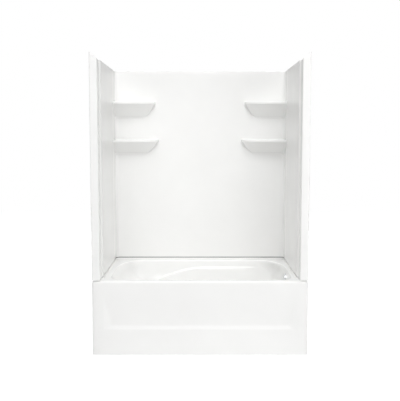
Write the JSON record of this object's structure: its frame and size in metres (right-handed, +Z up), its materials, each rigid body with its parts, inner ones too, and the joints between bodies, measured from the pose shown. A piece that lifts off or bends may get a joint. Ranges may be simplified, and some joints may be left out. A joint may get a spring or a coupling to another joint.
{
  "type": "bathtub and shower wall unit",
  "caption": "White moulded alcove bathtub with rimmed front apron, three shower wall sheets with corner shelves, seals, clips, timber backing, and a lift-up waste stopper with overflow",
  "frame": {"origin": "bottom centre of the unit's box, at floor level, midway across the width and the depth", "axes": "+X to the right end with the drain, +Y to the back wall, +Z up; the apron and the opening face -Y"},
  "size_m": [1.524, 0.938, 2.125],
  "materials": {
    "gelcoat": "high-gloss white moulded sheet",
    "seal": "matte grey closed-cell foam strip",
    "steel": "plain spring steel",
    "timber": "sawn softwood and plywood",
    "chrome": "polished chrome plate",
    "rubber": "soft black rubber",
    "pipe": "white plastic drain pipe"
  },
  "bodies": {
    "unit": {"tub_shell": "gelcoat", "back_wall": "gelcoat", "left_wall": "gelcoat", "right_wall": "gelcoat", "back_deck_seal": "seal", "left_deck_seal": "seal", "right_deck_seal": "seal", "left_corner_seal": "seal", "right_corner_seal": "seal", "left_corner_clip_1": "steel", "left_corner_clip_2": "steel", "left_corner_clip_3": "steel", "right_corner_clip_1": "steel", "right_corner_clip_2": "steel", "right_corner_clip_3": "steel", "left_deck_clip_1": "steel", "left_deck_clip_2": "steel", "right_deck_clip_1": "steel", "right_deck_clip_2": "steel", "back_deck_clip_1": "steel", "back_deck_clip_2": "steel", "back_deck_clip_3": "steel", "base_board": "timber", "left_bearer": "timber", "middle_bearer": "timber", "right_bearer": "timber", "apron_batten": "timber", "back_batten_lower": "timber", "back_batten_upper": "timber", "left_batten_lower": "timber", "left_batten_upper": "timber", "right_batten_lower": "timber", "right_batten_upper": "timber", "drain_strainer": "chrome", "stopper_post": "chrome", "drain_washer": "rubber", "drain_shoe": "pipe", "shoe_nut": "pipe", "waste_pipe": "pipe", "waste_tee": "pipe", "tee_inlet_nut": "pipe", "tee_top_nut": "pipe", "tee_bottom_nut": "pipe", "tailpiece": "pipe", "overflow_pipe": "pipe", "elbow_nut": "pipe", "overflow_elbow": "pipe", "overflow_washer": "rubber", "overflow_cover": "chrome", "overflow_screw_upper": "chrome", "overflow_screw_lower": "chrome"},
    "stopper": {"drain_stopper": "chrome", "stopper_seal": "rubber"}
  },
  "joints": [
    {"name": "stopper_lift", "type": "slide", "parent": "unit", "child": "stopper", "axis": [0, 0, 1], "range_m": [0, 0.009]}
  ]
}
